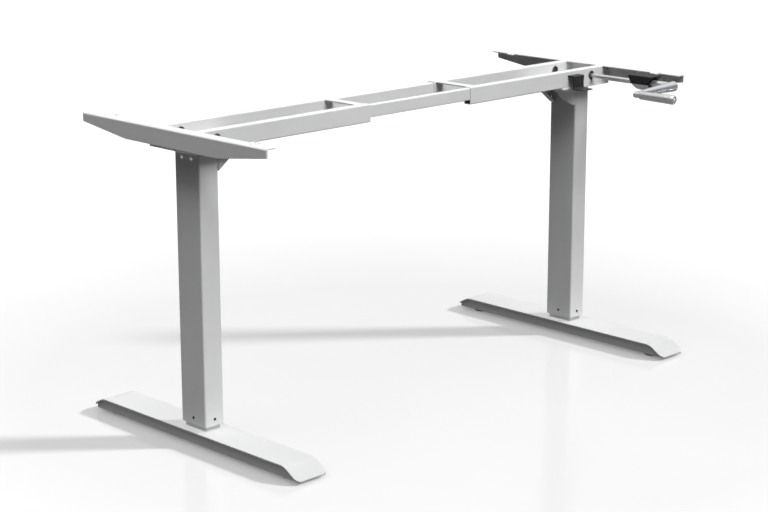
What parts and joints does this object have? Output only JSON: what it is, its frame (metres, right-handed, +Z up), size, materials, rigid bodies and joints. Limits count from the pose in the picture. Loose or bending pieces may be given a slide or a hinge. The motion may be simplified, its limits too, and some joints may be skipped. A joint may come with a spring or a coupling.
{
  "type": "hand-crank height-adjustable desk frame",
  "caption": "Desk frame without a top: telescopic legs raised together by a side crank through bevel gears and lead screws, joined by telescopic rails, on long flat feet with levelling discs.",
  "frame": {"origin": "on the floor under the centre of the bounding box at the lowest height setting", "axes": "+X runs along the rails towards the crank leg, -Y is the user's side where the crank handle reaches out, +Z is up"},
  "size_m": [1.33, 0.764, 0.6845],
  "materials": {
    "powder_coat": "light grey satin powder coat with a fine texture",
    "silver_metal": "satin plated steel",
    "zinc_steel": "bright zinc plate",
    "bare_steel": "oiled ground steel",
    "black_steel": "black oxide",
    "black_nylon": "matte black nylon",
    "black_plastic": "fine-grained black plastic",
    "bronze": "machined bronze"
  },
  "bodies": {
    "left_base": {"left_foot_plate": "powder_coat", "left_foot_web": "powder_coat", "left_inner_tube": "powder_coat", "left_screw_nut": "bronze", "left_inner_glides": "black_nylon", "left_foot_screws": "zinc_steel"},
    "left_upper": {"left_outer_tube": "powder_coat", "left_support_bracket": "powder_coat", "left_side_bracket": "powder_coat", "left_front_outer_rail": "powder_coat", "left_rear_outer_rail": "powder_coat", "left_cross_member": "powder_coat", "left_gearbox_case": "powder_coat", "left_screw_bearing": "bare_steel", "left_tube_bush": "black_nylon", "left_bush_screws": "black_steel", "left_strap_screws": "zinc_steel", "left_rail_glides": "black_nylon", "left_lock_screws": "black_steel"},
    "mid_rails": {"front_inner_rail": "powder_coat", "rear_inner_rail": "powder_coat"},
    "right_upper": {"right_outer_tube": "powder_coat", "right_support_bracket": "powder_coat", "right_side_bracket": "powder_coat", "right_front_outer_rail": "powder_coat", "right_rear_outer_rail": "powder_coat", "right_cross_member": "powder_coat", "right_gearbox_case": "powder_coat", "right_screw_bearing": "bare_steel", "right_tube_bush": "black_nylon", "right_bush_screws": "black_steel", "right_strap_screws": "zinc_steel", "right_rail_glides": "black_nylon", "right_lock_screws": "black_steel", "crank_guide": "black_plastic", "guide_cradle": "silver_metal", "stow_hook": "black_plastic"},
    "right_base": {"right_foot_plate": "powder_coat", "right_foot_web": "powder_coat", "right_inner_tube": "powder_coat", "right_screw_nut": "bronze", "right_inner_glides": "black_nylon", "right_foot_screws": "zinc_steel"},
    "left_screw": {"left_lead_screw": "bare_steel", "left_screw_gear": "bare_steel"},
    "right_screw": {"right_lead_screw": "bare_steel", "right_screw_gear": "bare_steel"},
    "left_cross_shaft": {"tube_shaft": "bare_steel", "left_cross_pinion": "bare_steel"},
    "right_cross_shaft": {"hex_shaft": "bare_steel", "right_cross_pinion": "bare_steel"},
    "crank": {"crank_rod": "silver_metal", "crank_pinion": "bare_steel"},
    "handle": {"handle_arm": "silver_metal", "grip_axle": "zinc_steel"},
    "grip": {"crank_grip": "silver_metal"},
    "left_front_leveler": {"left_leveler_front": "black_nylon"},
    "left_rear_leveler": {"left_leveler_rear": "black_nylon"},
    "right_front_leveler": {"right_leveler_front": "black_nylon"},
    "right_rear_leveler": {"right_leveler_rear": "black_nylon"}
  },
  "joints": [
    {"name": "left_lift", "type": "slide", "parent": "left_base", "child": "left_upper", "axis": [0, 0, 1], "range_m": [0, 0.45]},
    {"name": "left_width", "type": "slide", "parent": "left_upper", "child": "mid_rails", "axis": [1, 0, 0], "range_m": [-0.16, 0.14]},
    {"name": "right_width", "type": "slide", "parent": "mid_rails", "child": "right_upper", "axis": [1, 0, 0], "range_m": [-0.16, 0.14]},
    {"name": "right_lift", "type": "slide", "parent": "right_upper", "child": "right_base", "axis": [0, 0, -1], "range_m": [0, 0.45]},
    {"name": "crank_turn", "type": "hinge", "parent": "right_upper", "child": "crank", "pos_m": [0.5975, 0.027, 0.6655], "axis": [0, 1, 0], "range_deg": [0, 32400]},
    {"name": "left_screw_turn", "type": "hinge", "parent": "left_upper", "child": "left_screw", "pos_m": [-0.5975, 0.027, 0.4], "axis": [0, 0, 1], "range_deg": [0, 16200]},
    {"name": "right_screw_turn", "type": "hinge", "parent": "right_upper", "child": "right_screw", "pos_m": [0.5975, 0.027, 0.4], "axis": [0, 0, 1], "range_deg": [-16200, 0]},
    {"name": "left_cross_turn", "type": "hinge", "parent": "left_upper", "child": "left_cross_shaft", "pos_m": [-0.5975, 0.027, 0.6655], "axis": [1, 0, 0], "range_deg": [0, 32400]},
    {"name": "right_cross_turn", "type": "hinge", "parent": "right_upper", "child": "right_cross_shaft", "pos_m": [0.5975, 0.027, 0.6655], "axis": [1, 0, 0], "range_deg": [0, 32400]},
    {"name": "handle_pull", "type": "slide", "parent": "crank", "child": "handle", "axis": [0, -1, 0], "range_m": [0, 0.06]},
    {"name": "grip_spin", "type": "hinge", "parent": "handle", "child": "grip", "pos_m": [0.45503, -0.3, 0.66276], "axis": [0, 1, 0], "continuous": true},
    {"name": "left_front_level", "type": "slide", "parent": "left_base", "child": "left_front_leveler", "axis": [0, 0, -1], "range_m": [0, 0.01]},
    {"name": "left_rear_level", "type": "slide", "parent": "left_base", "child": "left_rear_leveler", "axis": [0, 0, -1], "range_m": [0, 0.01]},
    {"name": "right_front_level", "type": "slide", "parent": "right_base", "child": "right_front_leveler", "axis": [0, 0, -1], "range_m": [0, 0.01]},
    {"name": "right_rear_level", "type": "slide", "parent": "right_base", "child": "right_rear_leveler", "axis": [0, 0, -1], "range_m": [0, 0.01]}
  ],
  "couplings": [
    {"joint": "left_lift", "follows": "crank_turn", "m_per_rad": 0.00079577},
    {"joint": "right_lift", "follows": "crank_turn", "m_per_rad": 0.00079577},
    {"joint": "left_screw_turn", "follows": "crank_turn", "ratio": 0.5},
    {"joint": "right_screw_turn", "follows": "crank_turn", "ratio": -0.5},
    {"joint": "left_cross_turn", "follows": "crank_turn", "ratio": 1},
    {"joint": "right_cross_turn", "follows": "crank_turn", "ratio": 1}
  ]
}
